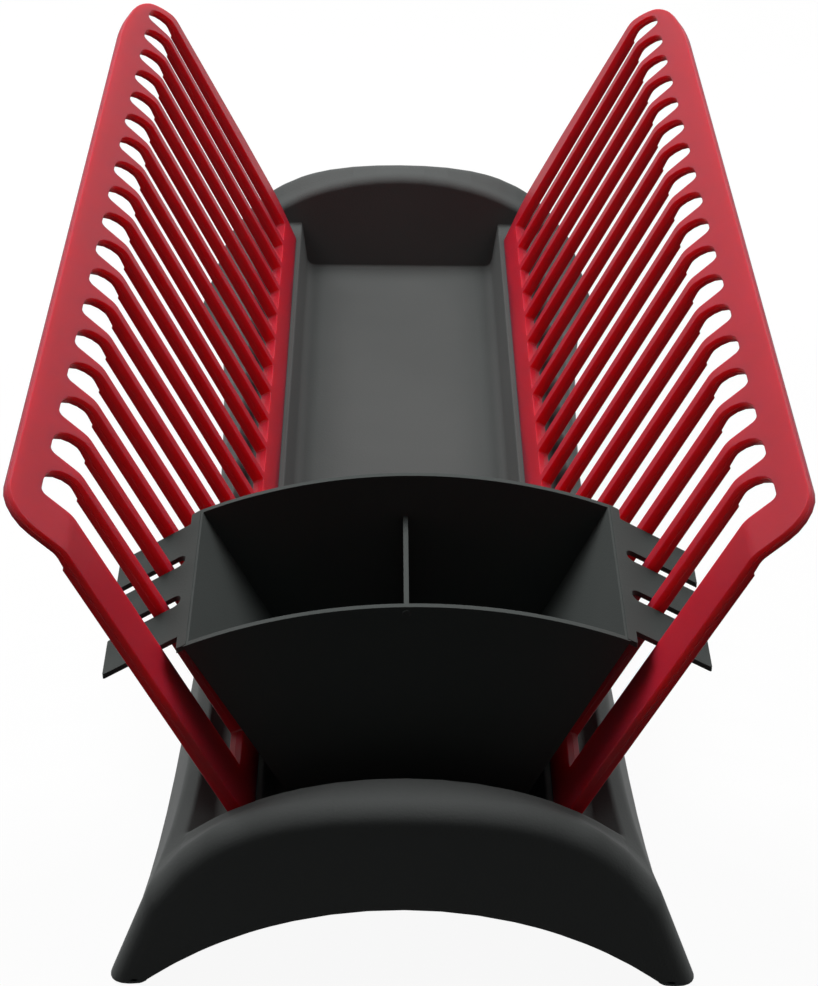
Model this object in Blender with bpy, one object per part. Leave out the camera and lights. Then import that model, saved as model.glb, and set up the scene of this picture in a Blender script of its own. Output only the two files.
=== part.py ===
"""Plastic dish drainer: a drip tray on four feet, two leaning plate racks that plug into it,
and a two-cell cutlery holder that stands between the racks at the front.

Metres, +Z up. The length runs along Y and the front, where the cutlery holder stands, is at -Y.
The origin is on the ground, under the middle of the tray.
"""
import math

import bmesh
import bpy
from mathutils import Matrix, Vector

for old in list(bpy.data.objects):
    bpy.data.objects.remove(old, do_unlink=True)

# Fits that the pieces share.
seat_gap = 0.0003
run_gap = 0.0005
cut_over = 0.004
merge_gap = 0.00002
sliver_length = 0.00001
station_gap = 0.001
bend_steps = 4
flat_angle = math.radians(0.01)

# Plate racks: ribs of one pitch between a wide bar at each end, a low rail and a bent-out shoulder.
pitch = 0.0230
rib_width = 0.0048
rib_depth = 0.0050
rib_count = 17
front_slot = 0.0194
front_bar = 0.0196
back_bar = 0.0122
rack_foot_half = 0.0524
rack_datum = 0.0564
rack_lean = math.radians(25.75)
shoulder_lean = math.radians(45.0)
rail_height = 0.0125
lean_length = 0.1305
bend_radius = 0.0140
shoulder_length = 0.0257
shoulder_slot = 0.0135
shoulder_depth = 0.0038
rim_round = 0.0012
front_corner_radius = 0.0128
back_corner_run = 0.0500
back_corner_rise = 0.0280
slot_corner_radius = 0.0120
tab_length = 0.0360
tab_depth = 0.0070
tab_thickness = 0.0030
tab_set_out = 0.0012
tab_root = 0.0015
tab_place_shares = (-0.66, 0.0, 0.66)

# Drip tray: an arched shell, narrow at its waist, flaring to a foot at each corner.
end_band = 0.0206
arch_radius = 0.1166
end_swell = 0.0052
arch_top = 0.0832
under_arch_radius = 0.1344
under_arch_top = 0.0381
waist_half = 0.0768
foot_flare = 0.0152
flare_power = 6
waist_lean = math.radians(6.0)
foot_lean = math.radians(20.5)
foot_inner = 0.0905
side_arch_rise = 0.0250
side_foot_length = 0.0115
tray_wall = 0.0026
edge_round = 0.0078
edge_draw_share = 1.0
edge_end_share = 0.999
rim_edge_round = 0.0030
foot_round = 0.0045
foot_end_lift = 0.0025
basin_end_draft = math.radians(2.6)
basin_floor = 0.0328
basin_half = 0.0472
basin_draft = 0.0029
ledge_width = 0.0100
gutter_depth = 0.0080
gutter_floor = 0.0036
gutter_slope = 0.0036
rim_inner_half = 0.0716
rim_inner_flare = 0.0055
tray_shares = (0.0, 0.30, 0.50, 0.62, 0.72, 0.80, 0.86, 0.90, 0.93, 0.955)
basin_shares = (-1.0, -0.92, -0.84, -0.74, -0.6, 0.0, 0.6, 0.74, 0.84, 0.92, 1.0)
pocket_shares = (0.0, 0.35, 0.65, 0.85, 1.0)

# Cutlery holder: a tapering two-cell cup with arched end walls and a toothed flange each side.
holder_inset = 0.0131
holder_depth = 0.0780
holder_wall = 0.0020
holder_fold_half = 0.0736
holder_fold_rise = 0.0706
holder_arch_rise = 0.0863
holder_base_half = 0.0302
holder_base_round = 0.0060
holder_end_draft = 0.0016
flange_slope = math.radians(31.4)
flange_overhang = 0.0272
flange_root = 0.0034
flange_thickness = 0.0019
flange_lift = 0.0002
notch_start = 0.0028
divider_thickness = 0.0018
divider_rise = 0.0690

# Places that follow from these sizes, and that more than one piece needs.
half_ribs = (rib_count - 1) / 2
last_rib = half_ribs * pitch
front_bar_inner = last_rib + rib_width / 2 + front_slot
back_bar_inner = last_rib - rib_width / 2 + pitch
rack_front = front_bar_inner + front_bar
rack_back = back_bar_inner + back_bar
bend_turn = shoulder_lean - rack_lean
bend_tangent = bend_radius * math.tan(bend_turn / 2)
bend_start = lean_length - bend_tangent
bend_trim = 2 * bend_tangent - bend_radius * bend_turn
slot_end = lean_length + shoulder_slot - bend_trim
rack_end = lean_length + shoulder_length - bend_trim
tray_half = rack_front + run_gap + end_band
side_arch_half = tray_half - side_foot_length
ledge_high = rack_datum
ledge_inner = basin_half + basin_draft
ledge_outer = ledge_inner + ledge_width
gutter_inner = ledge_outer + gutter_slope
holder_low = basin_floor + seat_gap
holder_fold_high = rack_datum + holder_fold_rise
holder_front = rack_front - holder_inset
holder_back = holder_front - holder_depth
flange_reach = waist_half + flange_overhang - holder_fold_half


def material(name, color, roughness):
    mat = bpy.data.materials.new(name)
    mat.use_nodes = True
    shader = mat.node_tree.nodes["Principled BSDF"]
    shader.inputs["Base Color"].default_value = (*color, 1.0)
    shader.inputs["Roughness"].default_value = roughness
    shader.inputs["Metallic"].default_value = 0.0
    mat.diffuse_color = (*color, 1.0)
    return mat


crimson = material("crimson_plastic", (0.33, 0.012, 0.022), 0.42)
charcoal = material("charcoal_plastic", (0.075, 0.080, 0.078), 0.55)
slate = material("slate_plastic", (0.085, 0.092, 0.090), 0.52)


def rounded(points, radii, steps=4):
    """A closed outline with each corner rounded by its radius."""
    out = []
    count = len(points)
    for i, point in enumerate(points):
        radius = radii[i] if isinstance(radii, (list, tuple)) else radii
        corner = Vector(point)
        if radius <= 0.0:
            out.append(corner)
            continue
        before = (Vector(points[i - 1]) - corner).normalized()
        after = (Vector(points[(i + 1) % count]) - corner).normalized()
        half = before.angle(after) / 2.0
        reach = radius / math.tan(half)
        centre = corner + (before + after).normalized() * (radius / math.sin(half))
        first = corner + before * reach - centre
        last = corner + after * reach - centre
        turn = first.angle(last)
        for k in range(steps + 1):
            share = k / steps
            arm = (first * math.sin((1.0 - share) * turn) + last * math.sin(share * turn)) / math.sin(turn)
            out.append(centre + arm)
    return [(p.x, p.y) for p in out]


def loft(name, sections):
    """One closed body through outlines that have the same number of points; each is a list of 3-D points."""
    bm = bmesh.new()
    rings = [[bm.verts.new(p) for p in section] for section in sections]
    for near, far in zip(rings, rings[1:]):
        for i, vert in enumerate(near):
            j = (i + 1) % len(near)
            bm.faces.new((vert, near[j], far[j], far[i]))
    bm.faces.new(list(reversed(rings[0])))
    bm.faces.new(rings[-1])
    bmesh.ops.recalc_face_normals(bm, faces=bm.faces)
    bmesh.ops.connect_verts_nonplanar(bm, angle_limit=flat_angle, faces=bm.faces)
    mesh = bpy.data.meshes.new(name)
    bm.to_mesh(mesh)
    bm.free()
    obj = bpy.data.objects.new(name, mesh)
    bpy.context.scene.collection.objects.link(obj)
    return obj


def along_y(name, outline, start, stop):
    """An outline of (x, z) points drawn out along Y."""
    return loft(name, [[(x, y, z) for x, z in outline] for y in (start, stop)])


def boolean(target, cutter, operation="DIFFERENCE"):
    mod = target.modifiers.new("%s %s" % (operation.lower(), cutter.name), "BOOLEAN")
    mod.operation = operation
    mod.solver = "EXACT"
    mod.object = cutter
    cutter.hide_render = True
    cutter.display_type = "WIRE"


def join_bodies(name, bodies):
    """Bodies that don't meet, gathered in one mesh so that one cut takes them all."""
    bm = bmesh.new()
    for body in bodies:
        bm.from_mesh(body.data)
        bpy.data.objects.remove(body, do_unlink=True)
    mesh = bpy.data.meshes.new(name)
    bm.to_mesh(mesh)
    bm.free()
    obj = bpy.data.objects.new(name, mesh)
    bpy.context.scene.collection.objects.link(obj)
    return obj


def settle(obj, mat, name, smooth_angle=math.radians(30.0)):
    """Fixes an object's modifiers into its mesh and gives it its name and material."""
    depsgraph = bpy.context.evaluated_depsgraph_get()
    depsgraph.update()
    mesh = bpy.data.meshes.new_from_object(obj.evaluated_get(depsgraph))
    bm = bmesh.new()
    bm.from_mesh(mesh)
    bmesh.ops.remove_doubles(bm, verts=bm.verts, dist=merge_gap)
    bmesh.ops.dissolve_degenerate(bm, edges=bm.edges, dist=sliver_length)
    bmesh.ops.dissolve_limit(
        bm, angle_limit=math.radians(0.2), verts=bm.verts, edges=bm.edges, delimit={"NORMAL"})
    bmesh.ops.triangulate(bm, faces=bm.faces)
    bm.to_mesh(mesh)
    bm.free()
    obj.modifiers.clear()
    obj.data = mesh
    obj.name = name
    mesh.name = name
    mesh.materials.clear()
    mesh.materials.append(mat)
    mesh.shade_smooth()
    mesh.set_sharp_from_angle(angle=smooth_angle)
    return obj


# Plate racks.
def rack_surface(length):
    """Place and outward normal on a rack's inner face, at a length along it from its bottom edge."""
    along = Vector((math.sin(rack_lean), math.cos(rack_lean)))
    start = Vector((rack_foot_half, rack_datum + seat_gap))
    if length <= bend_start:
        return start + along * length, Vector((along.y, -along.x))
    arc = bend_radius * bend_turn
    centre = start + along * bend_start + Vector((along.y, -along.x)) * bend_radius
    swept = min(length - bend_start, arc) / bend_radius
    lean = rack_lean + swept
    normal = Vector((math.cos(lean), -math.sin(lean)))
    place = centre - normal * bend_radius
    if length > bend_start + arc:
        place = place + Vector((math.sin(lean), math.cos(lean))) * (length - bend_start - arc)
    return place, normal


def rack_outline():
    """The rack's section in (x, z): inner face up, round the rim, outer face down."""
    stops = [0.0]
    stops += [bend_start + bend_radius * bend_turn * k / bend_steps for k in range(bend_steps + 1)]
    inner = [rack_surface(s)[0] for s in stops]
    place, normal = rack_surface(rack_end)
    along = Vector((-normal.y, normal.x))
    rim = []
    middle_in = place - along * rim_round + normal * rim_round
    middle_out = place - along * rim_round + normal * (shoulder_depth - rim_round)
    for k in range(bend_steps + 1):
        angle = math.pi / 2 * k / bend_steps
        rim.append(middle_in - normal * rim_round * math.cos(angle) + along * rim_round * math.sin(angle))
    for k in range(bend_steps + 1):
        angle = math.pi / 2 * k / bend_steps
        rim.append(middle_out + along * rim_round * math.cos(angle) + normal * rim_round * math.sin(angle))
    outer = []
    for s in reversed(stops[1:]):
        spot, out = rack_surface(s)
        share = (s - bend_start) / (bend_radius * bend_turn)
        outer.append(spot + out * (rib_depth + (shoulder_depth - rib_depth) * share))
    foot, out = rack_surface(0.0)
    outer.append(foot + Vector((rib_depth / math.cos(rack_lean), 0.0)))
    return [(p.x, p.y) for p in inner + rim + outer]


def surface_strip(name, stations):
    """A cutter that follows the bent rack: each station is a length along it and a stretch of Y."""
    rings = []
    for length, start, stop in stations:
        place, normal = rack_surface(length)
        near = place - normal * cut_over
        far = place + normal * (rib_depth + cut_over)
        rings.append([(near.x, start, near.y), (near.x, stop, near.y), (far.x, stop, far.y), (far.x, start, far.y)])
    return loft(name, rings)


def rack_slot(start, stop):
    """One slot between two ribs, with its top corner nearer the back rounded."""
    round_low = slot_end - slot_corner_radius
    lengths = [rail_height, bend_start]
    lengths += [bend_start + bend_radius * bend_turn * k / bend_steps for k in range(1, bend_steps + 1)]
    stations = [(s, start, stop) for s in lengths if s < round_low - station_gap]
    for k in range(bend_steps + 1):
        angle = math.pi / 2 * k / bend_steps
        sink = slot_corner_radius * (1.0 - math.cos(angle))
        stations.append((round_low + slot_corner_radius * math.sin(angle), start, stop - sink))
    return surface_strip("slot", stations)


def rack_corner(end, reach, run, rise):
    """What the rounding of one of the rim's corners takes away."""
    steps = 8
    stations = []
    for k in range(steps + 1):
        angle = math.pi / 2 * k / steps
        length = rack_end - rise * (1.0 - math.sin(angle))
        stations.append((length, end * (reach - run * (1.0 - math.cos(angle))), end * (reach + cut_over)))
    stations.append((rack_end + cut_over, end * (reach - run), end * (reach + cut_over)))
    return surface_strip("corner", [(s, min(y), max(y)) for s, *y in stations])


def build_rack(name, side):
    body = along_y(name, rack_outline(), -rack_front, rack_back)
    tabs = []
    for share in tab_place_shares:
        middle = share * rack_back
        tabs.append(along_y("tab", tab_outline(0.0), middle - tab_length / 2, middle + tab_length / 2))
    boolean(body, join_bodies(name + " tabs", tabs), "UNION")
    cuts = []
    edges = [-front_bar_inner]
    for i in range(rib_count):
        middle = (i - half_ribs) * pitch
        edges += [middle - rib_width / 2, middle + rib_width / 2]
    edges.append(back_bar_inner)
    for start, stop in zip(edges[0::2], edges[1::2]):
        cuts.append(rack_slot(start, stop))
    cuts.append(rack_corner(-1, rack_front, front_corner_radius, front_corner_radius))
    cuts.append(rack_corner(1, rack_back, back_corner_run, back_corner_rise))
    boolean(body, join_bodies(name + " cuts", cuts))
    rack = settle(body, crimson, name)
    if side < 0:
        rack.data.transform(Matrix.Scale(-1.0, 4, (1.0, 0.0, 0.0)))
        rack.data.flip_normals()
    return rack


def tab_outline(gap):
    """A tab's section, upright under the rack; with a gap it is the socket that takes the tab."""
    inner = rack_foot_half + tab_set_out
    low = rack_datum + seat_gap - tab_depth
    high = rack_datum + (cut_over if gap > 0.0 else seat_gap + tab_root)
    return [(inner - gap, low - gap), (inner + tab_thickness + gap, low - gap),
            (inner + tab_thickness + gap, high), (inner - gap, high)]


# Drip tray.
def arch_height(x, radius, top):
    """Height of a round arch of this radius and crown at a distance x from the middle."""
    inside = max(radius * radius - x * x, 0.0)
    return top - radius + math.sqrt(inside)


def crown_height(x, y, half, sink):
    """Height of the tray's arched top: past the basin it swells beside the crown, over its half width."""
    start = rack_front + run_gap
    share = min(max((abs(y) - start) / (tray_half - edge_round - start), 0.0), 1.0)
    across = min((x / half) ** 2, 1.0)
    return arch_height(x, arch_radius - sink, arch_top - sink) + end_swell * share * 4 * across * (1.0 - across)


def rim_half(y):
    """Half the tray's width at its rim: a slim waist, swelling a little, then flaring to the feet."""
    share = min(abs(y) / tray_half, 1.0)
    return waist_half + foot_flare * share ** flare_power


def skirt_slope(y):
    """How far the skirt leans out for each unit that it drops, more towards the feet."""
    share = min(abs(y) / tray_half, 1.0)
    return math.tan(waist_lean) + (math.tan(foot_lean) - math.tan(waist_lean)) * share


def tray_section(y):
    """The tray's outer outline at a place along its length, filled down to the ground."""
    over = abs(y) - (tray_half - edge_round)
    sink = 0.0
    if over > 0.0:
        sink = edge_round - math.sqrt(max(edge_round ** 2 - over ** 2, 0.0))
    half = rim_half(y) - sink * edge_draw_share
    low = sink * foot_end_lift / edge_round
    edge_high = crown_height(half, y, half, sink)
    spread = (edge_high - low) * skirt_slope(y)
    outline = [(half + spread, low), (half, edge_high)]
    steps = 22
    for k in range(1, steps):
        x = half * (1 - 2 * k / steps)
        outline.append((x, crown_height(x, y, half, sink)))
    outline += [(-half, edge_high), (-half - spread, low)]
    radii = [foot_round, rim_edge_round] + [0.0] * (steps - 1) + [rim_edge_round, foot_round]
    return [(x, y, z) for x, z in rounded(outline, radii, 3)]


def mirror_outline(half_outline):
    """A half outline at +X, from the middle out, joined to its mirror image."""
    return [(x, z) for x, z in half_outline] + [(-x, z) for x, z in reversed(half_outline)]


def tray_stations():
    """Places along the length, closer together where the tray flares and rounds."""
    places = [share * tray_half for share in tray_shares]
    flat_end = tray_half - edge_round
    places = [p for p in places if p < flat_end - edge_round / 2] + [flat_end - edge_round / 3]
    for k in range(bend_steps + 1):
        places.append(flat_end + edge_round * edge_end_share * math.sin(math.pi / 2 * k / bend_steps))
    return [-p for p in reversed(places[1:])] + places


def basin_end(z):
    """How far the basin reaches along the length at a height: just past the racks at its ledge."""
    return rack_front + run_gap + (z - ledge_high) * math.tan(basin_end_draft)


def build_tray():
    body = loft("drip_tray", [tray_section(y) for y in tray_stations()])
    high = arch_top + cut_over
    # The basin, with the ledge that carries a rack and a gutter outside it on either side.
    rings = []
    for reach_share in basin_shares:
        rim_inner = rim_inner_half + rim_inner_flare * abs(reach_share) ** flare_power
        rim_high = arch_height(rim_inner, arch_radius, arch_top)
        basin = [(basin_half, basin_floor), (ledge_inner, ledge_high), (ledge_outer, ledge_high),
                 (gutter_inner, ledge_high - gutter_depth),
                 (gutter_inner + gutter_floor, ledge_high - gutter_depth),
                 (rim_inner, rim_high), (rim_inner + high - rim_high, high)]
        rings.append([(x, reach_share * basin_end(z), z) for x, z in mirror_outline(basin)])
    boolean(body, loft("basin", rings))
    # The hollow under the basin's floor, as wide as the skirts allow.
    floor_under = basin_floor - tray_wall
    rings = []
    stations = [y for y in tray_stations() if abs(y) < tray_half - edge_round]
    inner_end = tray_half - tray_wall
    for y in [-inner_end] + stations[1:-1] + [inner_end]:
        inner = rim_half(y) - tray_wall
        rim_high = crown_height(rim_half(y), y, rim_half(y), 0.0)
        high_half = min(inner + (rim_high - floor_under) * skirt_slope(y), foot_inner)
        low_half = min(inner + (rim_high + cut_over) * skirt_slope(y), foot_inner)
        rings.append([(x, y, z) for x, z in [(low_half, -cut_over), (high_half, floor_under),
                                             (-high_half, floor_under), (-low_half, -cut_over)]])
    boolean(body, loft("underside", rings))
    # Beside the basin the hollow rises under the ledge and the gutter.
    under = [(basin_half + tray_wall, floor_under - cut_over), (ledge_inner + tray_wall, ledge_high - tray_wall),
             (ledge_outer - tray_wall / 2, ledge_high - tray_wall),
             (gutter_inner - tray_wall / 2, ledge_high - gutter_depth - tray_wall),
             (waist_half - tray_wall, ledge_high - gutter_depth - tray_wall),
             (waist_half - tray_wall, floor_under - cut_over)]
    side_end = basin_end(floor_under)
    right = along_y("side hollow", under, -side_end, side_end)
    left = along_y("side hollow", [(-x, z) for x, z in reversed(under)], -side_end, side_end)
    boolean(body, join_bodies("side hollows", [right, left]))
    # Under each end arch a pocket follows the arch.
    pockets = []
    near = basin_end(arch_top) + tray_wall
    for end in (-1, 1):
        steps = 16
        rings = []
        for share in pocket_shares:
            y = end * (near + (inner_end - near) * share)
            half = min(rim_half(y) - tray_wall, foot_inner)
            ring = [(half, y, floor_under - cut_over)]
            for k in range(steps + 1):
                x = half * (1 - 2 * k / steps)
                ring.append((x, y, crown_height(x, y, rim_half(y), tray_wall)))
            ring.append((-half, y, floor_under - cut_over))
            rings.append(ring)
        pockets.append(loft("pocket", rings))
    boolean(body, join_bodies("end pockets", pockets))
    # The end walls' lower edges are arches from foot to foot.
    arches = []
    for end in (-1, 1):
        steps = 24
        foot_angle = math.acos((under_arch_radius - under_arch_top - cut_over) / under_arch_radius)
        arch = []
        for k in range(steps + 1):
            angle = foot_angle * (1 - 2 * k / steps)
            arch.append((under_arch_radius * math.sin(angle),
                         under_arch_top - under_arch_radius + under_arch_radius * math.cos(angle)))
        near = basin_end(arch_top) + tray_wall + run_gap
        arches.append(along_y("arch", arch, *sorted((end * near, end * (tray_half + cut_over)))))
    boolean(body, join_bodies("end arches", arches))
    # The skirts' lower edges are long, low arches between the front and back feet.
    long_radius = (side_arch_half ** 2 + side_arch_rise ** 2) / (2 * side_arch_rise)
    steps = 24
    outline = []
    for k in range(steps + 1):
        y = side_arch_half * (1 - 2 * k / steps)
        outline.append((y, side_arch_rise - long_radius + math.sqrt(long_radius ** 2 - y ** 2)))
    outline += [(-side_arch_half, -cut_over), (side_arch_half, -cut_over)]
    wide = waist_half + foot_flare + arch_top * math.tan(foot_lean)
    boolean(body, loft("side arch", [[(x, y, z) for y, z in outline] for x in (-wide, wide)]))
    # Sockets through the ledge take the racks' tabs.
    sockets = []
    for side in (-1, 1):
        for share in tab_place_shares:
            outline = [(side * x, z) for x, z in tab_outline(run_gap)]
            middle = share * rack_back
            reach = tab_length / 2 + run_gap
            sockets.append(along_y("socket", outline, middle - reach, middle + reach))
    boolean(body, join_bodies("tab sockets", sockets))
    return settle(body, charcoal, "drip_tray")


# Cutlery holder.
def holder_side(z):
    """Half the holder's outer width at a height, on the taper from its base to its folds."""
    share = (z - holder_low) / (holder_fold_high - holder_low)
    return holder_base_half + (holder_fold_half - holder_base_half) * share


def holder_cup(inset, name):
    """The cup's solid outer form, or with an inset the space inside it, both under arched end walls."""
    base = holder_low + inset
    lean = math.atan2(holder_fold_half - holder_base_half, holder_fold_high - holder_low)
    side_in = inset / math.cos(lean)
    top_half = holder_fold_half - side_in
    arch_high = rack_datum + holder_arch_rise
    rise = arch_high - holder_fold_high
    crown = (top_half ** 2 + rise ** 2) / (2 * rise)
    bottom_half = holder_side(base) - side_in
    steps = 14
    arch = []
    for k in range(1, steps):
        x = top_half * (1 - 2 * k / steps)
        arch.append((x, arch_height(x, crown, arch_high)))
    if inset > 0.0:
        # The space runs out through the top of the form, still widening.
        top_half += math.tan(lean) * cut_over
        arch = [(x, z + cut_over) for x, z in arch]
        fold_high = holder_fold_high + cut_over
    else:
        fold_high = holder_fold_high
    outline = [(-bottom_half, base), (bottom_half, base), (top_half, fold_high)] + arch + [(-top_half, fold_high)]
    radii = [holder_base_round - inset] * 2 + [0.0] * (len(arch) + 2)
    shape = rounded(outline, radii)
    rings = []
    for end in (-1, 1):
        ring = []
        for x, z in shape:
            share = min(max((z - base) / (holder_fold_high - base), 0.0), 1.0)
            draw_in = holder_end_draft * (1.0 - share) + inset
            y = -holder_front + draw_in if end < 0 else -holder_back - draw_in
            ring.append((x, y, z))
        rings.append(ring)
    return loft(name, rings)


def flange_outline(side):
    """The flange's section in (x, z): from inside the wall out and down to its tip."""
    along = Vector((math.cos(flange_slope), -math.sin(flange_slope)))
    under = Vector((-math.sin(flange_slope), -math.cos(flange_slope))) * flange_thickness
    fold = Vector((holder_fold_half, holder_fold_high + flange_lift))
    root = fold - along * (holder_wall / 2 / math.cos(flange_slope))
    tip = fold + along * (flange_reach / math.cos(flange_slope))
    root_under = Vector((holder_side(holder_fold_high - flange_thickness * 2) - holder_wall / 2,
                         holder_fold_high - flange_thickness * 2))
    points = [root, tip, tip + under, root_under]
    return [(side * p.x, p.y) for p in points]


def build_holder():
    body = holder_cup(0.0, "cutlery_holder")
    flange_front = front_bar_inner - run_gap
    flange_back = last_rib - 2 * pitch + rib_width / 2 + run_gap
    for side in (-1, 1):
        boolean(body, along_y("flange %d" % side, flange_outline(side), -holder_front + holder_wall / 4,
                              -holder_back - holder_wall / 4), "UNION")
    # Outside its root strip the flange is shorter, to pass between the end bar and the third rib.
    high = holder_fold_high + cut_over
    low = holder_fold_high - flange_reach
    root_edge = holder_fold_half + flange_root
    far = holder_fold_half + flange_reach + cut_over
    cuts = []
    for side in (-1, 1):
        x_near, x_far = sorted((side * root_edge, side * far))
        for start, stop in ((-holder_front - cut_over, -flange_front), (-flange_back, -holder_back + cut_over)):
            outline = [(x_near, low), (x_far, low), (x_far, high), (x_near, high)]
            cuts.append(along_y("end cut", outline, start, stop))
        # A notch open at the tip straddles each of the two front ribs.
        for rib in (0, 1):
            middle = -(last_rib - rib * pitch)
            reach = rib_width / 2 + run_gap
            start_x = holder_fold_half + notch_start
            steps = 6
            plan = []
            for k in range(steps + 1):
                angle = math.pi / 2 + math.pi * k / steps
                plan.append((side * (start_x + reach + reach * math.cos(angle)), middle + reach * math.sin(angle)))
            plan += [(side * far, middle - reach), (side * far, middle + reach)]
            cuts.append(loft("notch", [[(x, y, z) for x, y in plan] for z in (low, high)]))
    boolean(body, join_bodies("flange cuts", cuts))
    boolean(body, holder_cup(holder_wall, "cup space"))
    # The divider stands across the middle, lower than the end walls.
    middle_low = holder_low + holder_wall / 2
    outline = [(-divider_thickness / 2, middle_low), (divider_thickness / 2, middle_low),
               (divider_thickness / 2, rack_datum + divider_rise), (-divider_thickness / 2, rack_datum + divider_rise)]
    boolean(body, along_y("divider", outline, -holder_front + holder_end_draft + holder_wall / 2,
                          -holder_back - holder_end_draft - holder_wall / 2), "UNION")
    return settle(body, slate, "cutlery_holder")


build_tray()
build_rack("right_plate_rack", 1)
build_rack("left_plate_rack", -1)
build_holder()

# The helper bodies have done their work and leave the file with the pieces alone.
for obj in list(bpy.data.objects):
    if obj.display_type == "WIRE":
        bpy.data.objects.remove(obj, do_unlink=True)
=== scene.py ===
import math

import bmesh
import bpy
from mathutils import Matrix, Vector


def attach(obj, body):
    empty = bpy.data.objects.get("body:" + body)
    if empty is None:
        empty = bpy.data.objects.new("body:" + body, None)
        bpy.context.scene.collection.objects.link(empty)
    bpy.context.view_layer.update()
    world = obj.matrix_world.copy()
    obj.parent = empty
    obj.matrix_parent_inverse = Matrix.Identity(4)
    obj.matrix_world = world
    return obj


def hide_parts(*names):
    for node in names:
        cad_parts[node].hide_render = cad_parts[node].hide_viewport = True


# Dish drainer: drip tray, two plate racks and a cutlery holder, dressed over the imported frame.
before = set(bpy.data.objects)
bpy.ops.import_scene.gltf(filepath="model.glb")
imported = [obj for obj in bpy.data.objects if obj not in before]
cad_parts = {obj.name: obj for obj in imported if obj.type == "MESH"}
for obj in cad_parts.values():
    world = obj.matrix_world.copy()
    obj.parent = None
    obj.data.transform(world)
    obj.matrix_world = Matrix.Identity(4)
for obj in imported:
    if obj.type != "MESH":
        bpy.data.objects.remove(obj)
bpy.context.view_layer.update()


def newPiece(name, bm, material):
    mesh = bpy.data.meshes.new(name)
    bm.to_mesh(mesh)
    bm.free()
    piece = bpy.data.objects.new(name, mesh)
    bpy.context.scene.collection.objects.link(piece)
    if material:
        mesh.materials.append(material)
    return piece


# a flat face in X and Y, with each corner rounded by its own offset
def flatShape(bm, points, offsets, segments=4):
    corners = [bm.verts.new((x, y, 0.0)) for x, y in points]
    bm.faces.new(corners)
    for offset in sorted(set(offsets)):
        picked = [v for v, o in zip(corners, offsets) if o == offset]
        if offset > 0.0:
            bmesh.ops.bevel(bm, geom=picked, offset=offset, offset_type="OFFSET",
                            segments=segments, profile=0.5, affect="VERTICES", material=-1)


# draws flat faces out from low to high along Z
def thicken(bm, faces, low, high):
    flat = list({v for f in faces for v in f.verts})
    bmesh.ops.translate(bm, verts=flat, vec=(0.0, 0.0, low))
    drawn = bmesh.ops.extrude_face_region(bm, geom=faces)["geom"]
    raised = [v for v in drawn if isinstance(v, bmesh.types.BMVert)]
    bmesh.ops.translate(bm, verts=raised, vec=(0.0, 0.0, high - low))
    bmesh.ops.recalc_face_normals(bm, faces=bm.faces)


# a box between two opposite corners
def block(bm, low, high):
    made = bmesh.ops.create_cube(bm, size=1.0)["verts"]
    bmesh.ops.scale(bm, vec=[b - a for a, b in zip(low, high)], verts=made)
    bmesh.ops.translate(bm, vec=[(a + b) / 2 for a, b in zip(low, high)], verts=made)


# turns the faces outwards again, after a bend or a mirror
def faceOutwards(bm):
    bm.normal_update()
    bmesh.ops.recalc_face_normals(bm, faces=bm.faces)


# new edges where a plane goes through the mesh
def sliceAt(bm, place, normal):
    bmesh.ops.bisect_plane(bm, geom=bm.verts[:] + bm.edges[:] + bm.faces[:], plane_co=place,
                           plane_no=normal, dist=1e-6)


def cutWith(piece, tool, operation="DIFFERENCE"):
    cut = piece.modifiers.new(tool.name, "BOOLEAN")
    cut.operation = operation
    cut.solver = "EXACT"
    cut.object = tool
    settle(piece)
    bpy.data.objects.remove(tool, do_unlink=True)


def softEdges(piece, width, segments, angle):
    edges = piece.modifiers.new("softEdges", "BEVEL")
    edges.width = width
    edges.segments = segments
    edges.limit_method = "ANGLE"
    edges.angle_limit = math.radians(angle)
    edges.miter_outer = "MITER_ARC"
    settle(piece)


# fixes what the modifiers make into the mesh
def settle(piece):
    bpy.context.view_layer.update()
    shown = piece.evaluated_get(bpy.context.evaluated_depsgraph_get())
    made = bpy.data.meshes.new_from_object(shown)
    piece.modifiers.clear()
    old = piece.data
    piece.data = made
    made.name = piece.name
    bpy.data.meshes.remove(old)


def finishShading(piece, angle=40.0):
    piece.data.shade_smooth()
    piece.data.set_sharp_from_angle(angle=math.radians(angle))
    weighted = piece.modifiers.new("evenNormals", "WEIGHTED_NORMAL")
    weighted.keep_sharp = True
    weighted.weight = 60


# height at X of an arch with its crown over X = 0
def archHeight(x, radius, top):
    return top - radius + math.sqrt(max(radius * radius - x * x, 0.0))


def mathNode(nodes, operation, second=None):
    made = nodes.new("ShaderNodeMath")
    made.operation = operation
    if second is not None:
        made.inputs[1].default_value = second
    return made


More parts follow.
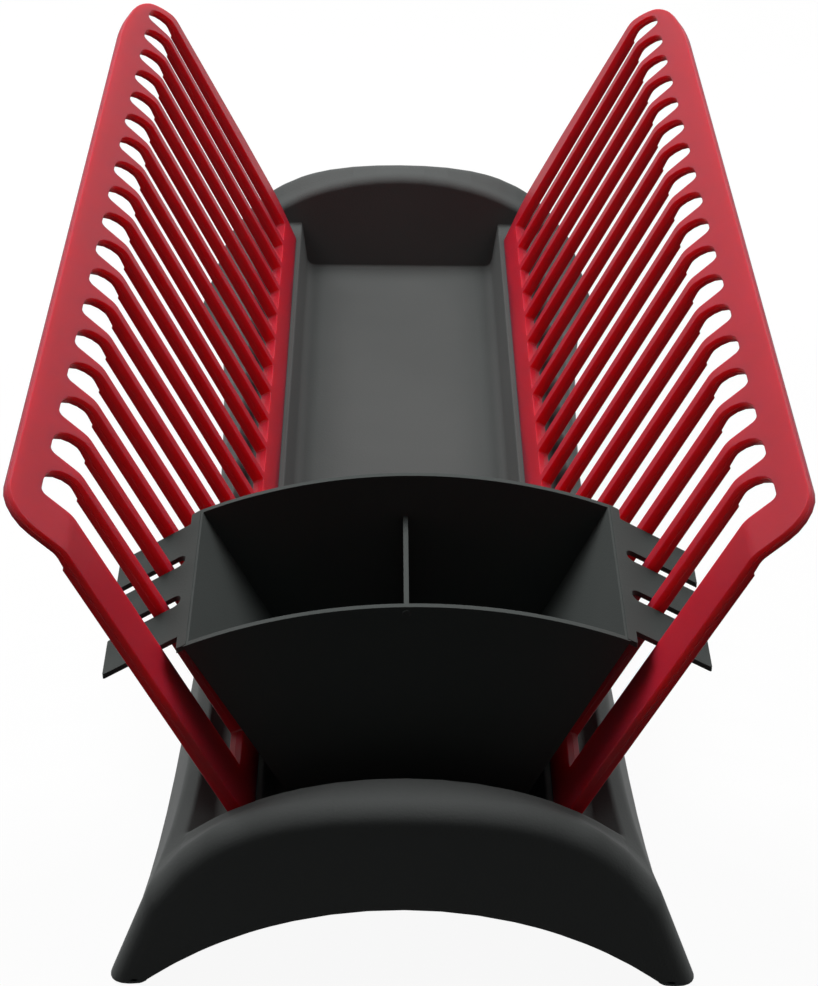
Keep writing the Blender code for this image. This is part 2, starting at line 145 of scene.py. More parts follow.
# moulded plastic: fine spark-eroded grain, soft cloudiness and a slightly uneven gloss
def grainGroup():
    group = bpy.data.node_groups.new("mouldedGrain", "ShaderNodeTree")
    given = (("Grain Size", 900.0), ("Cloud Size", 22.0), ("Roughness", 0.5),
             ("Uneven Gloss", 0.06))
    for name, value in given:
        socket = group.interface.new_socket(name, in_out="INPUT", socket_type="NodeSocketFloat")
        socket.default_value = value
    for name in ("Height", "Cloud", "Roughness"):
        group.interface.new_socket(name, in_out="OUTPUT", socket_type="NodeSocketFloat")
    nodes, links = group.nodes, group.links
    given = nodes.new("NodeGroupInput")
    out = nodes.new("NodeGroupOutput")
    place = nodes.new("ShaderNodeTexCoord")
    grain = nodes.new("ShaderNodeTexNoise")
    grain.inputs["Detail"].default_value = 3.0
    grain.inputs["Roughness"].default_value = 0.65
    links.new(place.outputs["Object"], grain.inputs["Vector"])
    links.new(given.outputs["Grain Size"], grain.inputs["Scale"])
    pits = nodes.new("ShaderNodeTexVoronoi")
    pits.feature = "SMOOTH_F1"
    links.new(place.outputs["Object"], pits.inputs["Vector"])
    links.new(given.outputs["Grain Size"], pits.inputs["Scale"])
    both = mathNode(nodes, "MULTIPLY_ADD", 0.5)
    links.new(pits.outputs["Distance"], both.inputs[0])
    links.new(grain.outputs["Fac"], both.inputs[2])
    links.new(both.outputs[0], out.inputs["Height"])
    cloud = nodes.new("ShaderNodeTexNoise")
    cloud.inputs["Detail"].default_value = 2.0
    links.new(place.outputs["Object"], cloud.inputs["Vector"])
    links.new(given.outputs["Cloud Size"], cloud.inputs["Scale"])
    links.new(cloud.outputs["Fac"], out.inputs["Cloud"])
    centred = mathNode(nodes, "SUBTRACT", 0.5)
    links.new(cloud.outputs["Fac"], centred.inputs[0])
    gloss = mathNode(nodes, "MULTIPLY_ADD")
    links.new(centred.outputs[0], gloss.inputs[0])
    links.new(given.outputs["Uneven Gloss"], gloss.inputs[1])
    links.new(given.outputs["Roughness"], gloss.inputs[2])
    links.new(gloss.outputs[0], out.inputs["Roughness"])
    return group


def plastic(name, finish):
    made = bpy.data.materials.new(name)
    made.use_nodes = True
    nodes, links = made.node_tree.nodes, made.node_tree.links
    shader = nodes["Principled BSDF"]
    grain = nodes.new("ShaderNodeGroup")
    grain.node_tree = mouldedGrain
    grain.inputs["Grain Size"].default_value = finish["grainSize"]
    grain.inputs["Cloud Size"].default_value = finish["cloudSize"]
    grain.inputs["Roughness"].default_value = finish["roughness"]
    grain.inputs["Uneven Gloss"].default_value = finish["unevenGloss"]
    tint = nodes.new("ShaderNodeMix")
    tint.data_type = "RGBA"
    tint.inputs["A"].default_value = (*finish["deep"], 1.0)
    tint.inputs["B"].default_value = (*finish["pale"], 1.0)
    bump = nodes.new("ShaderNodeBump")
    bump.inputs["Strength"].default_value = finish["grainStrength"]
    bump.inputs["Distance"].default_value = finish["grainDepth"]
    links.new(grain.outputs["Cloud"], tint.inputs["Factor"])
    links.new(tint.outputs["Result"], shader.inputs["Base Color"])
    links.new(grain.outputs["Roughness"], shader.inputs["Roughness"])
    links.new(grain.outputs["Height"], bump.inputs["Height"])
    links.new(bump.outputs["Normal"], shader.inputs["Normal"])
    shader.inputs["Specular IOR Level"].default_value = finish["specular"]
    if "glow" in finish:   # light that soaks through
        shader.inputs["Subsurface Weight"].default_value = finish["glow"]
        shader.inputs["Subsurface Radius"].default_value = finish["glowReach"]
        shader.inputs["Subsurface Scale"].default_value = finish["glowScale"]
    made.diffuse_color = (*finish["pale"], 1.0)
    return made


mouldedGrain = grainGroup()
finishes = {
    "crimson": {
        "deep": (0.44, 0.009, 0.023), "pale": (0.54, 0.014, 0.034), "roughness": 0.46,
        "unevenGloss": 0.10, "specular": 0.16, "grainSize": 1400.0, "cloudSize": 30.0,
        "grainStrength": 0.25, "grainDepth": 0.00012, "glow": 1.0,
        "glowReach": (1.0, 0.10, 0.14), "glowScale": 0.0200,
    },
    "charcoal": {
        "deep": (0.083, 0.088, 0.087), "pale": (0.105, 0.111, 0.109), "roughness": 0.58,
        "unevenGloss": 0.10, "specular": 0.06, "grainSize": 1100.0, "cloudSize": 16.0,
        "grainStrength": 0.45, "grainDepth": 0.00018,
    },
    "slate": {
        "deep": (0.062, 0.069, 0.067), "pale": (0.081, 0.089, 0.086), "roughness": 0.60,
        "unevenGloss": 0.10, "specular": 0.03, "grainSize": 1200.0, "cloudSize": 20.0,
        "grainStrength": 0.45, "grainDepth": 0.00016,
    },
}
crimsonPlastic = plastic("crimsonPlastic", finishes["crimson"])
charcoalPlastic = plastic("charcoalPlastic", finishes["charcoal"])
slatePlastic = plastic("slatePlastic", finishes["slate"])
print("plastics made")


# plate racks: cut flat, edges softened, then bent to the lean and the shoulder
rack = {
    "pitch": 0.0230, "ribWidth": 0.0048, "ribCount": 17, "frontSlot": 0.0194,
    "frontBar": 0.0196, "backBar": 0.0122, "footHalf": 0.0524, "footHeight": 0.0567,
    "lean": 25.75, "shoulderLean": 45.0, "bendRadius": 0.0140, "bendStart": 0.12813,
    "bendCuts": 8, "leanCuts": (0.03, 0.06, 0.09, 0.12), "railHeight": 0.0125,
    "slotEnd": 0.14396, "length": 0.15560, "depth": 0.0050,
    "shoulderShare": 0.76, "shoulderRun": 0.0047,      # the shoulder's depth, full after the run
    "kinkShare": 0.86, "kinkPlace": 0.1240, "kinkRun": 0.0008,
    "softWidth": 0.0007, "cornerSteps": 5, "frontCorner": 0.0130,
    # the back corner and the taper under it: short of the end or up the rack, then in from the
    # back, then the rounding
    "backCorner": ((0.0, 0.0560, 0.0120), (0.0050, 0.0230, 0.0100), (0.0150, 0.0080, 0.0080)),
    "backTaper": ((0.1270, 0.0046, 0.0), (0.0930, 0.0026, 0.0), (0.0600, 0.0008, 0.0),
                  (0.0220, 0.0, 0.0090), (0.0, 0.0075, 0.0)),
    "slotBackCorner": 0.0125, "slotFrontCorner": 0.0022, "slotLowCorner": 0.0008,
    "partingRidge": 0.00016, "partingReach": 0.0002, "partingStart": 0.004,
    "tabLength": 0.0360, "tabThickness": 0.0030, "tabSetOut": 0.0012, "tabDepth": 0.0070,
    "tabRoot": 0.0012, "tabPlaces": (-0.1431, 0.0, 0.1431),
}


# the Y of every slot, front to back, and of both ends
def rackEdges():
    r = rack
    lastRib = (r["ribCount"] - 1) / 2 * r["pitch"]
    ribs = [-lastRib + i * r["pitch"] for i in range(r["ribCount"])]
    half = r["ribWidth"] / 2
    front = -lastRib - half - r["frontSlot"]
    back = lastRib - half + r["pitch"]
    starts = [front] + [y + half for y in ribs]
    stops = [y - half for y in ribs] + [back]
    return list(zip(starts, stops)), front - r["frontBar"], back + r["backBar"]


# where a point of the flat rack goes: a length up the rack and a depth out from its inner face
def bentPlace(length, out):
    r = rack
    lean = math.radians(r["lean"])
    start = Vector((r["footHalf"], r["footHeight"]))
    up = Vector((math.sin(lean), math.cos(lean)))
    if length <= r["bendStart"]:
        turned = lean
        place = start + up * length
    else:
        place = start + up * r["bendStart"]
        centre = place + Vector((math.cos(lean), -math.sin(lean))) * r["bendRadius"]
        most = math.radians(r["shoulderLean"]) - lean
        swept = min((length - r["bendStart"]) / r["bendRadius"], most)
        turned = lean + swept
        place = centre - Vector((math.cos(turned), -math.sin(turned))) * r["bendRadius"]
        rest = length - r["bendStart"] - swept * r["bendRadius"]
        place += Vector((math.sin(turned), math.cos(turned))) * rest
    return place + Vector((math.cos(turned), -math.sin(turned))) * out


# the shoulder is thinner than the ribs: a small step under the bend, then a taper over it
def depthShare(length):
    r = rack
    past = length - r["kinkPlace"]
    if length <= r["kinkPlace"]:
        return 1.0
    if length <= r["kinkPlace"] + r["kinkRun"]:
        return 1.0 + (r["kinkShare"] - 1.0) * past / r["kinkRun"]
    share = min(past / (r["bendStart"] + r["shoulderRun"] - r["kinkPlace"]), 1.0)
    return r["kinkShare"] + (r["shoulderShare"] - r["kinkShare"]) * share


# the rack before its bend: X up the rack, Y along it, Z out through its depth
def flatRack(name):
    r = rack
    slots, front, back = rackEdges()
    end = r["length"]
    points = [(0.0, front), (end, front)]
    offsets = [0.0, r["frontCorner"]]
    for short, inset, rounding in r["backCorner"]:
        points.append((end - short, back - inset))
        offsets.append(rounding)
    for length, inset, rounding in r["backTaper"]:
        points.append((length, back - inset))
        offsets.append(rounding)
    bm = bmesh.new()
    flatShape(bm, points, offsets, r["cornerSteps"])
    thicken(bm, bm.faces[:], 0.0, r["depth"])
    for v in bm.verts:  # the foot is level once the rack leans
        if v.co.x < 1e-5 and v.co.z > r["depth"] / 2:
            v.co.x += r["depth"] * math.tan(math.radians(r["lean"]))
    piece = newPiece(name, bm, crimsonPlastic)
    bm = bmesh.new()
    low, high = r["railHeight"], r["slotEnd"]
    rounds = [r["slotLowCorner"], r["slotFrontCorner"], r["slotBackCorner"], r["slotLowCorner"]]
    for start, stop in slots:
        flatShape(bm, [(low, start), (high, start), (high, stop), (low, stop)], rounds,
                  r["cornerSteps"])
    clear = 0.002
    thicken(bm, bm.faces[:], -clear, r["depth"] + clear)
    cutWith(piece, newPiece("slots", bm, None))
    softEdges(piece, r["softWidth"], 3, 35.0)
    return piece


def makeRack(name, side):
    r = rack
    piece = flatRack(name)
    bm = bmesh.new()
    bm.from_mesh(piece.data)
    arc = math.radians(r["shoulderLean"] - r["lean"]) * r["bendRadius"]
    cuts = [r["bendStart"] + arc * k / r["bendCuts"] for k in range(r["bendCuts"] + 1)]
    cuts += [r["kinkPlace"], r["kinkPlace"] + r["kinkRun"], *r["leanCuts"]]
    for cut in cuts:
        sliceAt(bm, (cut, 0.0, 0.0), (1.0, 0.0, 0.0))
    middle = r["depth"] * 0.5
    for shift in (-r["partingReach"], 0.0, r["partingReach"]):
        sliceAt(bm, (0.0, 0.0, middle + shift), (0.0, 0.0, 1.0))
    bm.normal_update()
    ridge = [(v, v.normal.copy()) for v in bm.verts
             if abs(v.co.z - middle) < 5e-6 and v.co.x > r["partingStart"]]
    for v, normal in ridge:   # the parting line of the mould, all the way round every edge
        v.co += normal * r["partingRidge"]
    for v in bm.verts:
        place = bentPlace(v.co.x, v.co.z * depthShare(v.co.x))
        v.co = (place.x, v.co.y, place.y)
    near = r["footHalf"] + r["tabSetOut"]
    for middleY in r["tabPlaces"]:
        block(bm, (near, middleY - r["tabLength"] / 2, r["footHeight"] - r["tabDepth"]),
              (near + r["tabThickness"], middleY + r["tabLength"] / 2,
               r["footHeight"] + r["tabRoot"]))
    if side < 0:
        bmesh.ops.scale(bm, vec=(-1.0, 1.0, 1.0), verts=bm.verts)
    faceOutwards(bm)
    bm.to_mesh(piece.data)
    bm.free()
    finishShading(piece)
    return piece


rightRack = makeRack("rightRack", 1)
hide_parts("right_plate_rack")
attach(rightRack, "right_rack")
leftRack = makeRack("leftRack", -1)
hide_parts("left_plate_rack")
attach(leftRack, "left_rack")
print("racks made")


# drip tray: one sheet draped over the arches, basin and skirts, then given its wall
tray = {
    "half": 0.24649, "archRadius": 0.1166, "archTop": 0.0832, "endSwell": 0.0052,
    "endRound": 0.0078, "underRadius": 0.1344, "underTop": 0.0381, "underHalf": 0.0875,
    "underBlend": 0.0012, "waistHalf": 0.0768, "footFlare": 0.0152, "flarePower": 9,
    "waistLean": 6.0, "footLean": 20.5, "sideArchRise": 0.0250, "sideArchHalf": 0.2350,
    "wall": 0.0024, "basinEnd": 0.2259, "basinDraft": 2.6, "basinHalf": 0.0472,
    "floor": 0.0328, "floorLines": (0.0, 0.012, 0.024, 0.036), "floorLineRound": 0.0002,
    "ledgeInner": 0.0501, "ledgeOuter": 0.0601, "ledge": 0.0564,
    "gutterInner": 0.0632, "gutterOuter": 0.0662, "gutterDepth": 0.0060,
    "rimInner": 0.0712, "rimInnerFlare": 0.0050, "rimLeast": 0.004,
    "floorRound": 0.0040, "rimRound": 0.0030, "footRound": 0.0045,
    "ledgeRounds": (0.0009, 0.0008), "gutterRounds": (0.0010, 0.0014), "rimInnerRound": 0.0015,
    "footWidth": 0.0042, "toeLift": 0.0018, "toeRise": 0.6, "toeSink": 0.45, "toeReach": 1.5,
    "legDraw": 1.0, "skirtSteps": 5, "skirtCuts": 5,
    "wallFoot": 0.0013, "wallBrow": 0.0040, "browRun": 0.0016, "browBlend": 0.004,
    "browClear": 1.7, "wallSteps": 5, "bandSteps": 4, "endSteps": 7, "faceSteps": 6,
    "lengthShares": (0.0, 0.16, 0.32, 0.46, 0.58, 0.68, 0.76, 0.83, 0.89, 0.935, 0.965),
    "socketGap": 0.0005,
}


# height of the arched top, which swells beside its crown towards each end
def crownHeight(x, y, half, sink):
    t = tray
    start = t["basinEnd"] + t["wallBrow"]
    share = min(max((abs(y) - start) / (t["half"] - t["endRound"] - start), 0.0), 1.0)
    across = min((x / half) ** 2, 1.0)
    arch = archHeight(x, t["archRadius"] - sink, t["archTop"] - sink)
    return arch + t["endSwell"] * share * 4 * across * (1 - across)


def rimHalf(y):
    t = tray
    return t["waistHalf"] + t["footFlare"] * min(abs(y) / t["half"], 1.0) ** t["flarePower"]


# an open line of (x, z) points with its corners rounded, always with the same number of points
def roundedLine(points, offsets, segments=4):
    line = [Vector(points[0])]
    for before, here, after, offset in zip(points, points[1:], points[2:], offsets):
        here = Vector(here)
        inward = Vector(before) - here
        onward = Vector(after) - here
        reach = min(offset, inward.length * 0.48, onward.length * 0.48)
        first = here + inward.normalized() * reach
        last = here + onward.normalized() * reach
        for k in range(segments + 1):
            share = k / segments
            line.append(first * (1 - share) ** 2 + here * 2 * share * (1 - share)
                        + last * share ** 2)
    line.append(Vector(points[-1]))
    return line


# the skirt's lower edge: a long low arch from foot to foot
def skirtLow(y):
    t = tray
    if abs(y) >= t["sideArchHalf"]:
        return 0.0
    radius = (t["sideArchHalf"] ** 2 + t["sideArchRise"] ** 2) / (2 * t["sideArchRise"])
    return max(archHeight(abs(y), radius, t["sideArchRise"]), 0.0)


# half the tray's section at Y, from its middle out to the foot, and which of its points is the
# rim; sink lowers the section where the ends round off
def halfSection(y, sink):
    t = tray
    half = rimHalf(y) - sink * t["legDraw"]
    edge = crownHeight(half, y, half, sink)
    leanShare = min(abs(y) / t["half"], 1.0)
    lean = math.radians(t["waistLean"] + (t["footLean"] - t["waistLean"]) * leanShare)
    low = max(skirtLow(y), sink * t["toeLift"] / t["endRound"])
    foot = (half + (edge - low) * math.tan(lean), low)
    flare = min(abs(y) / t["basinEnd"], 1.0) ** t["flarePower"]
    rimInner = min(t["rimInner"] + t["rimInnerFlare"] * flare, half - t["rimLeast"])
    gutter = t["ledge"] - t["gutterDepth"]
    points = [(x, t["floor"]) for x in t["floorLines"]]
    points += [(t["basinHalf"], t["floor"]), (t["ledgeInner"], t["ledge"]),
               (t["ledgeOuter"], t["ledge"]), (t["gutterInner"], gutter),
               (t["gutterOuter"], gutter), (rimInner, crownHeight(rimInner, y, half, sink)),
               (half, edge)]
    rounds = [t["floorLineRound"]] * (len(t["floorLines"]) - 1)
    rounds += [t["floorRound"], *t["ledgeRounds"], *t["gutterRounds"], t["rimInnerRound"]]
    inner = roundedLine(points, rounds)
    rise = t["footWidth"] * t["toeRise"] * (1 - t["toeSink"] * sink / t["endRound"])
    outer = roundedLine([tuple(inner[-2]), (half, edge), foot, (foot[0] - t["footWidth"], low),
                         (foot[0] - t["footWidth"] * t["toeReach"], low + rise)],
                        [t["rimRound"], t["footRound"], t["footRound"] * 0.5], t["skirtSteps"])
    skirt = outer[1:]
    top, cuts = t["skirtSteps"], t["skirtCuts"]     # more points down the skirt, so it can flare
    drop = [skirt[top].lerp(skirt[top + 1], k / (cuts + 1)) for k in range(1, cuts + 1)]
    return inner[:-1] + skirt[:top + 1] + drop + skirt[top + 1:], len(inner) - 1


# the arch between the feet, which runs out softly to the ground
def underArch(x):
    t = tray
    rise = archHeight(x, t["underRadius"], t["underTop"])
    return (rise + math.sqrt(rise * rise + 4 * t["underBlend"] ** 2)) / 2


# The rows are lines across the sheet from its middle out to the foot. These are the basin's.
def basinRows():
    t = tray
    reach = t["basinEnd"] - t["wallFoot"]
    return [[(p.x, reach * share, p.y) for p in halfSection(reach * share, 0.0)[0]]
            for share in t["lengthShares"]]


# up the basin's end wall, from its hollow foot to its brow
def endWallRows(inside):
    t = tray
    rows = []
    steps = t["wallSteps"]
    run = t["wallFoot"] + t["wallBrow"] + t["browRun"]
    for k in range(2 * steps):
        row = []
        plainY = t["basinEnd"] - t["wallFoot"] + run * (k / (2 * steps - 1))
        for i, p in enumerate(halfSection(plainY, 0.0)[0]):
            if i >= inside:
                row.append((p.x, plainY, p.y))
                continue
            high = crownHeight(p.x, t["basinEnd"] + t["wallBrow"] + t["browRun"],
                               rimHalf(t["basinEnd"]), 0.0)
            height = max(high - p.y, 0.0)
            lowRound = min(t["wallFoot"], height * 0.45)
            highRound = min(t["wallBrow"], height * 0.45)
            if k < steps:
                angle = math.pi / 2 * k / (steps - 1)
                z = p.y + lowRound * (1 - math.cos(angle))
                off = lowRound * (math.sin(angle) - 1)
            else:
                angle = math.pi / 2 * (k - steps) / (steps - 1)
                z = high - highRound * (1 - math.sin(angle))
                off = highRound * (1 - math.cos(angle))
            draft = math.tan(math.radians(t["basinDraft"]))
            wallY = t["basinEnd"] + (z - t["ledge"]) * draft + off
            blend = min(height / t["browBlend"], 1.0)
            row.append((p.x, plainY + (wallY - plainY) * blend, z if blend > 0.0 else p.y))
        rows.append(row)
    return rows


# over the arched band and round its outer end
def bandRows(inside):
    t = tray
    rows = []
    start = t["basinEnd"] + t["wallBrow"] + t["browRun"] * t["browClear"]
    end = t["half"] - t["endRound"]
    steps = t["bandSteps"]
    places = [(start + (end - start) * k / steps, 0.0) for k in range(steps + 1)]
    for k in range(1, t["endSteps"] + 1):
        angle = math.pi / 2 * k / t["endSteps"]
        places.append((end + t["endRound"] * math.sin(angle),
                       t["endRound"] * (1 - math.cos(angle))))
    for y, sink in places:
        half = rimHalf(y) - sink * t["legDraw"]
        rows.append([(p.x, y, crownHeight(p.x, y, half, sink) if i < inside else p.y)
                     for i, p in enumerate(halfSection(y, sink)[0])])
    return rows


# down the tray's end face to the arch between the feet
def faceRows(face, inside):
    t = tray
    rows = []
    rim = face[inside][0]
    last, _, lastLow = face[-1]
    toe = inside + t["skirtSteps"] + 1 + t["skirtCuts"]    # from here on it rounds under the foot
    for k in range(1, t["faceSteps"] + 1):
        row = []
        for i, (x, y, z) in enumerate(face):
            if i <= inside:
                underX = x * t["underHalf"] / rim
            else:
                out = min((i - inside) / (toe - inside), 1.0)
                underX = t["underHalf"] + (last - t["underHalf"]) * out
            low = lastLow if i >= toe else max(underArch(underX), lastLow)
            share = k / t["faceSteps"]
            row.append((x + (underX - x) * share, y, z + (low - z) * share))
        rows.append(row)
    return rows


# a plain grid takes the rows, mirrored about the middle both ways
def drapedSheet(rows):
    across = 2 * len(rows[0]) - 1
    along = 2 * len(rows) - 1
    bm = bmesh.new()
    bmesh.ops.create_grid(bm, x_segments=across - 1, y_segments=along - 1, size=0.5)
    for v in bm.verts:
        i = round((v.co.x + 0.5) * (across - 1)) - (len(rows[0]) - 1)
        j = round((v.co.y + 0.5) * (along - 1)) - (len(rows) - 1)
        x, y, z = rows[abs(j)][abs(i)]
        v.co = (math.copysign(x, i) if i else 0.0, math.copysign(y, j) if j else 0.0, z)
    bmesh.ops.remove_doubles(bm, verts=bm.verts, dist=0.00002)
    bmesh.ops.dissolve_degenerate(bm, edges=bm.edges, dist=0.00001)
    bmesh.ops.recalc_face_normals(bm, faces=bm.faces)
    if sum(f.normal.z * f.calc_area() for f in bm.faces) < 0.0:
        bmesh.ops.reverse_faces(bm, faces=bm.faces)
    return bm


# the racks' tab sockets, through both ledges
def socketForms():
    t, r = tray, rack
    bm = bmesh.new()
    gap = t["socketGap"]
    below, above = 0.010, 0.004     # well past the ledge's wall
    near = r["footHalf"] + r["tabSetOut"]
    for side in (-1, 1):
        low, high = sorted((side * (near - gap), side * (near + r["tabThickness"] + gap)))
        for middleY in r["tabPlaces"]:
            block(bm, (low, middleY - r["tabLength"] / 2 - gap, t["ledge"] - below),
                  (high, middleY + r["tabLength"] / 2 + gap, t["ledge"] + above))
    return newPiece("sockets", bm, None)


def makeTray():
    t = tray
    inside = halfSection(0.0, 0.0)[1]
    rows = basinRows() + endWallRows(inside) + bandRows(inside)
    rows += faceRows(rows[-1], inside)
    piece = newPiece("dripTray", drapedSheet(rows), charcoalPlastic)
    wall = piece.modifiers.new("wall", "SOLIDIFY")
    wall.thickness = t["wall"]
    wall.offset = -1.0
    settle(piece)
    for v in piece.data.vertices:     # the thickness runs out past the tight fold under each foot
        v.co.y = max(-t["half"], min(t["half"], v.co.y))
        v.co.z = max(v.co.z, 0.0)
    cutWith(piece, socketForms())
    finishShading(piece, 50.0)
    return piece


dripTray = makeTray()
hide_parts("drip_tray")
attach(dripTray, "tray")
print("tray made")


# cutlery holder: a tapering cup with arched end walls, a divider and a notched flange each side
holder = {
    "front": 0.2123, "back": 0.1343, "base": 0.0331, "baseHalf": 0.0302, "baseRound": 0.0060,
    "foldHalf": 0.0750, "fold": 0.1270, "archTop": 0.1427, "archCuts": 27, "wall": 0.0020,
    "endDraft": 0.0016, "dividerThickness": 0.0018, "dividerTop": 0.1254, "cutClear": 0.004,
    "flangeSlope": 31.4, "flangeReach": 0.0292, "flangeRoot": 0.0024, "flangeLift": 0.0002,
    "flangeThickness": 0.0019, "flangeFront": 0.2053, "flangeBack": 0.1407, "rootInset": 0.0005,
    "rootCorner": 0.0006, "tipCorner": 0.0010, "notches": (-0.1840, -0.1610),
    "notchStart": 0.0029, "notchHalf": 0.0029, "notchMouth": 0.0006, "notchRound": 0.0026,
    "softWidth": 0.00050, "gateMark": 0.0017, "gateHeight": 0.0006, "gateSink": 0.0001,
    "roll": 1.4, "pitch": 1.0, "pivot": (0.0, -0.1725, 0.1180),
}


# the cup filled in, or the space inside it: a flat outline drawn out along its depth
def cupForm(name, inset, lift):
    h = holder
    lean = math.atan2(h["foldHalf"] - h["baseHalf"], h["fold"] - h["base"])
    topHalf = h["foldHalf"] - inset / math.cos(lean) + math.tan(lean) * lift
    base = h["base"] + inset
    lowHalf = h["baseHalf"] + (base - h["base"]) * math.tan(lean) - inset / math.cos(lean)
    bm = bmesh.new()
    high = h["fold"] + lift
    flatShape(bm, [(-lowHalf, base), (lowHalf, base), (topHalf, high), (-topHalf, high)],
              [h["baseRound"] - inset, h["baseRound"] - inset, 0.0, 0.0], 6)
    top = [e for e in bm.edges if all(v.co.y > high - 1e-6 for v in e.verts)]
    bmesh.ops.subdivide_edges(bm, edges=top, cuts=h["archCuts"])
    rise = h["archTop"] - h["fold"]
    radius = (topHalf ** 2 + rise ** 2) / (2 * rise)
    for v in bm.verts:
        if v.co.y > high - 1e-6:
            v.co.y = archHeight(v.co.x, radius, h["archTop"]) + lift
    thicken(bm, bm.faces[:], -h["front"] + inset, -h["back"] - inset)
    for v in bm.verts:
        x, z, y = v.co
        share = min(max((z - h["base"]) / (h["fold"] - h["base"]), 0.0), 1.0)
        toward = 1.0 if y < -(h["front"] + h["back"]) / 2 else -1.0
        v.co = (x, y + toward * h["endDraft"] * (1.0 - share), z)
    faceOutwards(bm)
    return newPiece(name, bm, slatePlastic)


# one flange, cut flat with its two notches and then tipped to its slope
def flangeForm(side):
    h = holder
    inner = h["foldHalf"] - h["wall"] * 0.5
    root = h["foldHalf"] + h["flangeRoot"]
    tip = h["foldHalf"] + h["flangeReach"]
    notch = h["foldHalf"] + h["notchStart"]
    first = -h["front"] + h["rootInset"]
    last = -h["back"] - h["rootInset"]
    points = [(inner, first), (root, first), (root, -h["flangeFront"]), (tip, -h["flangeFront"])]
    offsets = [0.0, h["rootCorner"], 0.0, h["tipCorner"]]
    for y in h["notches"]:
        start, stop = y - h["notchHalf"], y + h["notchHalf"]
        points += [(tip, start), (notch, start), (notch, stop), (tip, stop)]
        offsets += [h["notchMouth"], h["notchRound"], h["notchRound"], h["notchMouth"]]
    points += [(tip, -h["flangeBack"]), (root, -h["flangeBack"]), (root, last), (inner, last)]
    offsets += [h["tipCorner"], 0.0, h["rootCorner"], 0.0]
    bm = bmesh.new()
    flatShape(bm, points, offsets, 5)
    slope = math.radians(h["flangeSlope"])
    thicken(bm, bm.faces[:], -(h["flangeThickness"] / math.cos(slope)), 0.0)
    for v in bm.verts:
        v.co.z += h["fold"] + h["flangeLift"] - (v.co.x - h["foldHalf"]) * math.tan(slope)
    if side < 0:
        bmesh.ops.scale(bm, vec=(-1.0, 1.0, 1.0), verts=bm.verts)
    faceOutwards(bm)
    return newPiece("flange", bm, slatePlastic)


def makeHolder():
    h = holder
    piece = cupForm("cutleryHolder", 0.0, 0.0)
    for side in (-1, 1):
        cutWith(piece, flangeForm(side), "UNION")
    cutWith(piece, cupForm("cupSpace", h["wall"], h["cutClear"]))
    bm = bmesh.new()
    into = h["wall"] * 0.5     # the divider's edges end inside the walls
    block(bm, (-h["dividerThickness"] / 2, -h["front"] + into + h["endDraft"], h["base"] + into),
          (h["dividerThickness"] / 2, -h["back"] - into - h["endDraft"], h["dividerTop"]))
    cutWith(piece, newPiece("divider", bm, slatePlastic), "UNION")
    softEdges(piece, h["softWidth"], 2, 30.0)
    bm = bmesh.new()
    bm.from_mesh(piece.data)
    # the moulding's gate mark, near the top of the front wall
    mark = bmesh.ops.create_cone(bm, cap_ends=True, segments=20, radius1=h["gateMark"],
                                 radius2=h["gateMark"] * 0.7, depth=h["gateHeight"])["verts"]
    bmesh.ops.rotate(bm, verts=mark, cent=(0.0, 0.0, 0.0),
                     matrix=Matrix.Rotation(math.radians(90.0), 3, "X"))
    bmesh.ops.translate(bm, verts=mark, vec=(0.0, -h["front"] - h["gateSink"],
                                             h["archTop"] - h["gateMark"] * 1.5))
    # the loose holder leans a little in the racks: its right side and its back sit slightly high
    tilt = (Matrix.Rotation(math.radians(-h["roll"]), 3, "Y")
            @ Matrix.Rotation(math.radians(h["pitch"]), 3, "X"))
    bmesh.ops.rotate(bm, verts=bm.verts, cent=h["pivot"], matrix=tilt)
    lowest = min(v.co.z for v in bm.verts)
    bmesh.ops.translate(bm, verts=bm.verts, vec=(0.0, 0.0, h["base"] - lowest))
    bm.to_mesh(piece.data)
    bm.free()
    finishShading(piece, 40.0)
    return piece


cutleryHolder = makeHolder()
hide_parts("cutlery_holder")
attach(cutleryHolder, "holder")
print("holder made")


# floor, light and camera
studio = {
    "floorSize": 6.0, "floorWhite": 0.98, "floorBounce": 0.04, "floorShadow": 0.07,
    "floorRoughness": 0.9, "worldStrength": 0.045,
    "lamps": {"left": ((-0.85, 0.32, 1.36), 20.0), "right": ((0.80, 0.30, 1.40), 15.5)},
    "lampSize": 0.8, "lampAim": (0.0, 0.0, 0.08),
    "cameraPlace": (-0.010419, -0.807829, 0.593381),
    "cameraTurn": (55.78688, -0.83359, -0.40125), "lens": 82.41, "sensor": 36.0,
    "clipStart": 0.02,
}


# 1 where the camera, a reflection or glass looks at it, and 0 for the light that it sends on
def seenDirectly(nodes, links):
    path = nodes.new("ShaderNodeLightPath")
    first = mathNode(nodes, "MAXIMUM")
    links.new(path.outputs["Is Camera Ray"], first.inputs[0])
    links.new(path.outputs["Is Glossy Ray"], first.inputs[1])
    second = mathNode(nodes, "MAXIMUM")
    links.new(first.outputs[0], second.inputs[0])
    links.new(path.outputs["Is Transmission Ray"], second.inputs[1])
    return second.outputs[0]


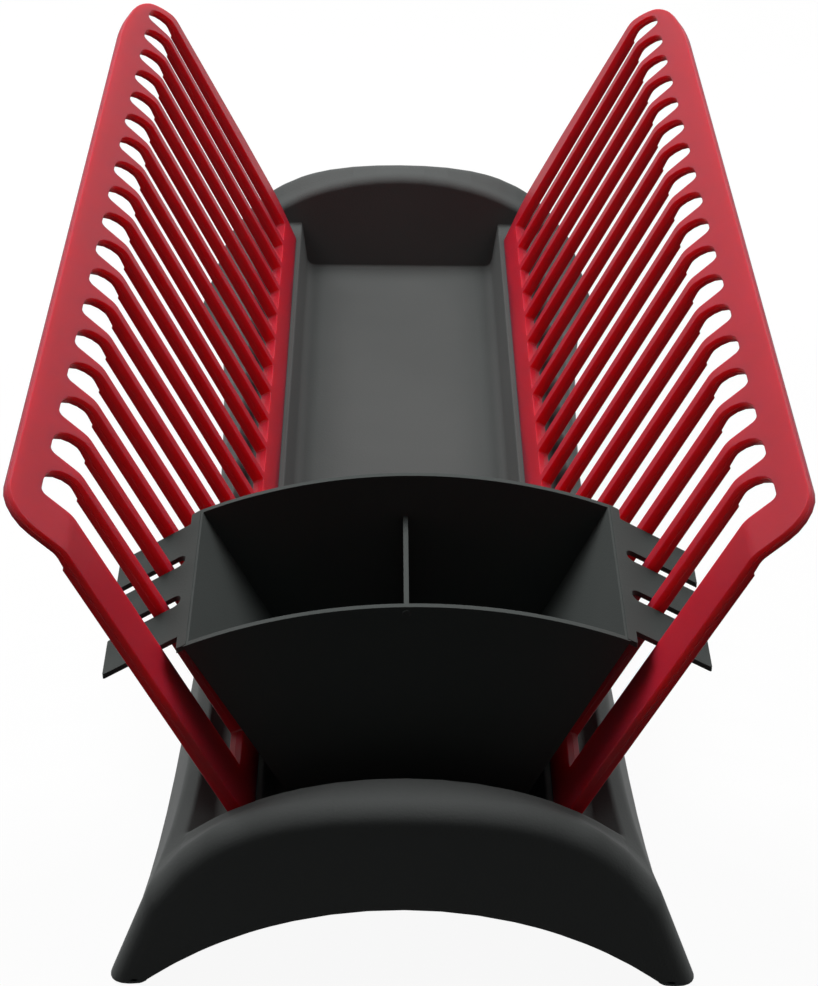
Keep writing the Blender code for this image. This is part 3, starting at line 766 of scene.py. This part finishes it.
# white paper that keeps the part's shadow and sends little light back up
def makeFloor():
    s = studio
    bm = bmesh.new()
    bmesh.ops.create_grid(bm, x_segments=1, y_segments=1, size=s["floorSize"] / 2)
    floor = newPiece("floor", bm, None)
    paper = bpy.data.materials.new("floorPaper")
    paper.use_nodes = True
    nodes, links = paper.node_tree.nodes, paper.node_tree.links
    shader = nodes["Principled BSDF"]
    shader.inputs["Roughness"].default_value = s["floorRoughness"]
    shader.inputs["Specular IOR Level"].default_value = 0.0
    tint = nodes.new("ShaderNodeMix")
    tint.data_type = "RGBA"
    tint.inputs["A"].default_value = (*[s["floorBounce"]] * 3, 1.0)
    tint.inputs["B"].default_value = (*[s["floorWhite"]] * 3, 1.0)
    seen = seenDirectly(nodes, links)
    links.new(seen, tint.inputs["Factor"])
    links.new(tint.outputs["Result"], shader.inputs["Base Color"])
    glow = nodes.new("ShaderNodeEmission")
    share = mathNode(nodes, "MULTIPLY", 1.0 - s["floorShadow"])
    both = nodes.new("ShaderNodeMixShader")
    links.new(seen, share.inputs[0])
    links.new(share.outputs[0], both.inputs["Fac"])
    links.new(shader.outputs[0], both.inputs[1])
    links.new(glow.outputs[0], both.inputs[2])
    links.new(both.outputs[0], nodes["Material Output"].inputs["Surface"])
    floor.data.materials.append(paper)


def makeWorld():
    world = bpy.data.worlds.new("studioWorld")
    bpy.context.scene.world = world
    world.use_nodes = True
    nodes, links = world.node_tree.nodes, world.node_tree.links
    level = nodes.new("ShaderNodeMix")
    level.data_type = "FLOAT"
    level.inputs["A"].default_value = studio["worldStrength"]
    level.inputs["B"].default_value = 1.0
    links.new(seenDirectly(nodes, links), level.inputs["Factor"])
    links.new(level.outputs["Result"], nodes["Background"].inputs["Strength"])
    nodes["Background"].inputs["Color"].default_value = (1.0, 1.0, 1.0, 1.0)


def makeLamps():
    s = studio
    for name, (place, power) in s["lamps"].items():
        lamp = bpy.data.lights.new(name, "AREA")
        lamp.shape = "SQUARE"
        lamp.size = s["lampSize"]
        lamp.energy = power
        box = bpy.data.objects.new(name, lamp)
        box.location = place
        aim = Vector(place) - Vector(s["lampAim"])
        box.rotation_euler = aim.to_track_quat("Z", "Y").to_euler()
        bpy.context.scene.collection.objects.link(box)


def makeCamera():
    s = studio
    view = bpy.data.cameras.new("photoView")
    view.lens = s["lens"]
    view.sensor_width = s["sensor"]
    view.clip_start = s["clipStart"]
    eye = bpy.data.objects.new("photoView", view)
    eye.location = s["cameraPlace"]
    eye.rotation_euler = [math.radians(a) for a in s["cameraTurn"]]
    bpy.context.scene.collection.objects.link(eye)
    bpy.context.scene.camera = eye


makeFloor()
makeWorld()
makeLamps()
makeCamera()
bpy.context.scene.view_settings.view_transform = "Standard"
print("studio made")
